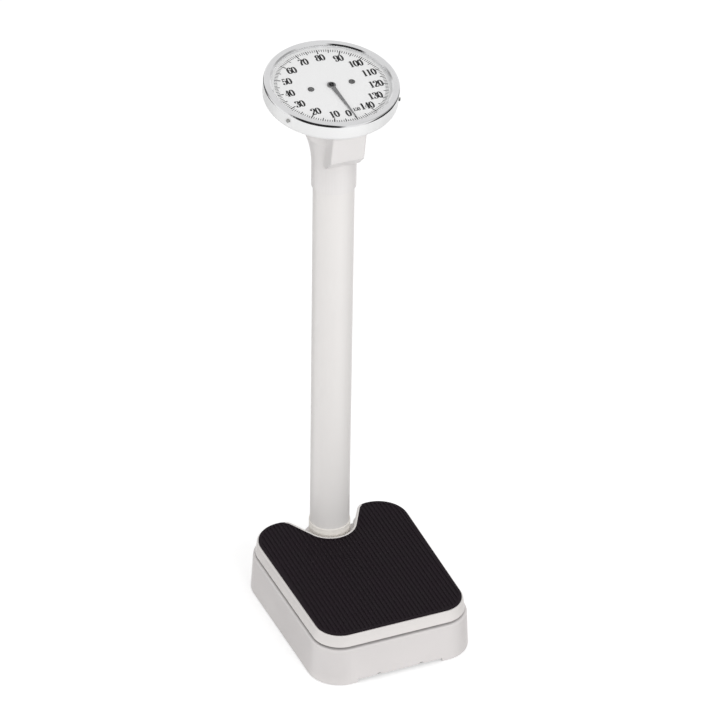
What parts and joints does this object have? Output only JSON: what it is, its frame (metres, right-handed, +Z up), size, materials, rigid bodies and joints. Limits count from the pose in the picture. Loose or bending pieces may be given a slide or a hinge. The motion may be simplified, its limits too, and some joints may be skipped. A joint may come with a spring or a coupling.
{
  "type": "column scale",
  "caption": "Mechanical weighing scale with a ribbed standing platform, tall round column and tilted round dial with a turning pointer.",
  "frame": {"origin": "middle of the footprint on the floor, under the centre of the bounding box", "axes": "+Z up, +X to the right of the person standing on the platform, +Y from the platform towards the column"},
  "size_m": [0.2876, 0.4248, 0.9406],
  "materials": {
    "casing_paint": "satin light warm grey paint",
    "cover_paint": "satin light warm grey paint",
    "mat_rubber": "black ribbed rubber",
    "foot_rubber": "black rubber",
    "pan_paint": "grey paint",
    "column_paint": "smooth cream white enamel",
    "collar_trim": "light warm trim",
    "neck_paint": "smooth cream white enamel",
    "drum_paint": "smooth white enamel",
    "chrome_trim": "polished chrome",
    "glass": "clear flat glass",
    "dial_white": "printed white enamel",
    "pointer_black": "matt black",
    "frame_steel": "zinc plated pressed steel",
    "lever_iron": "dark grey enamel on steel bar",
    "bright_steel": "bright ground steel",
    "screws": "zinc plated",
    "dark_screws": "blackened steel",
    "movement_brass": "machined brass",
    "knob_black": "black fluted moulding"
  },
  "bodies": {
    "stand": {"base_casing": "casing_paint", "bottom_pan": "pan_paint", "rubber_feet": "foot_rubber", "foot_screws": "screws", "column_bridge": "frame_steel", "bridge_bolts": "screws", "column_socket": "frame_steel", "socket_bolts": "screws", "column_tube": "column_paint", "column_collar": "collar_trim", "front_fulcrum_brackets": "frame_steel", "rear_fulcrum_brackets": "frame_steel", "main_spring": "bright_steel", "spring_hanger": "frame_steel", "neck_housing": "neck_paint", "neck_screws": "screws", "dial_drum": "drum_paint", "drum_screws": "screws", "bezel_ring": "chrome_trim", "bezel_screws": "screws", "dial_glass": "glass", "spacer_ring": "chrome_trim", "dial_face": "dial_white", "dial_screws": "dark_screws", "movement_plate": "movement_brass", "movement_screws": "screws", "movement_pillars": "movement_brass", "movement_top_plate": "movement_brass", "rack_guide": "movement_brass", "crank_pin": "bright_steel"},
    "platform": {"platform_mat": "mat_rubber", "platform_cover": "cover_paint", "platform_rail_left": "frame_steel", "platform_rail_right": "frame_steel", "front_load_posts": "frame_steel", "rear_load_posts": "frame_steel"},
    "long_lever": {"long_lever_arm_left": "lever_iron", "long_lever_arm_right": "lever_iron", "long_lever_cross_bar": "lever_iron", "long_lever_nose": "lever_iron", "long_lever_pins": "bright_steel"},
    "short_lever": {"short_lever_arm_left": "lever_iron", "short_lever_arm_right": "lever_iron", "short_lever_nose": "lever_iron", "short_lever_pins": "bright_steel"},
    "lever_link": {"lever_link": "bright_steel"},
    "draft_rod": {"draft_rod": "bright_steel", "rod_fork_pin": "bright_steel", "spring_collar": "bright_steel"},
    "bell_crank": {"bell_crank": "movement_brass"},
    "rack": {"rack": "movement_brass"},
    "pointer": {"pinion_arbor": "movement_brass", "pointer": "pointer_black", "pointer_cap": "pointer_black"},
    "zero_adjuster": {"zero_knob": "knob_black", "zero_screw": "bright_steel"}
  },
  "joints": [
    {"name": "platform_travel", "type": "slide", "parent": "stand", "child": "platform", "axis": [0, 0, -1], "range_m": [0, 0.003], "stiffness_N_per_m": 40000, "springref_m": -0.002},
    {"name": "long_lever_turn", "type": "hinge", "parent": "stand", "child": "long_lever", "pos_m": [0, -0.17952, 0.0485], "axis": [-1, 0, 0], "range_deg": [0, 4]},
    {"name": "short_lever_turn", "type": "hinge", "parent": "stand", "child": "short_lever", "pos_m": [0, 0.09548, 0.027], "axis": [1, 0, 0], "range_deg": [0, 4]},
    {"name": "lever_link_drop", "type": "slide", "parent": "stand", "child": "lever_link", "axis": [0, 0, -1], "range_m": [0, 0.00962]},
    {"name": "draft_rod_drop", "type": "slide", "parent": "stand", "child": "draft_rod", "axis": [0, 0, -1], "range_m": [0, 0.01887], "deforming": ["main_spring"]},
    {"name": "bell_crank_turn", "type": "hinge", "parent": "stand", "child": "bell_crank", "pos_m": [0, 0.05848, 0.86327], "axis": [-1, 0, 0], "range_deg": [0, 32.83]},
    {"name": "rack_slide", "type": "slide", "parent": "stand", "child": "rack", "axis": [0, 0.9836, 0.1805], "range_m": [0, 0.01887]},
    {"name": "pointer_turn", "type": "hinge", "parent": "stand", "child": "pointer", "pos_m": [0, 0.10438, 0.9148], "axis": [0, 0.1805, -0.9836], "range_deg": [0, 360.2]},
    {"name": "zero_knob_turn", "type": "hinge", "parent": "stand", "child": "zero_adjuster", "pos_m": [0, 0.09048, 0.813], "axis": [0, 1, 0], "range_deg": [-180, 180]}
  ],
  "couplings": [
    {"joint": "long_lever_turn", "follows": "platform_travel", "rad_per_m": 23.271},
    {"joint": "short_lever_turn", "follows": "platform_travel", "rad_per_m": 23.271},
    {"joint": "lever_link_drop", "follows": "platform_travel", "ratio": 3.1998},
    {"joint": "draft_rod_drop", "follows": "platform_travel", "ratio": 6.2832},
    {"joint": "bell_crank_turn", "follows": "platform_travel", "rad_per_m": 190.95},
    {"joint": "rack_slide", "follows": "platform_travel", "ratio": 6.2832},
    {"joint": "pointer_turn", "follows": "platform_travel", "rad_per_m": 2094.4}
  ]
}
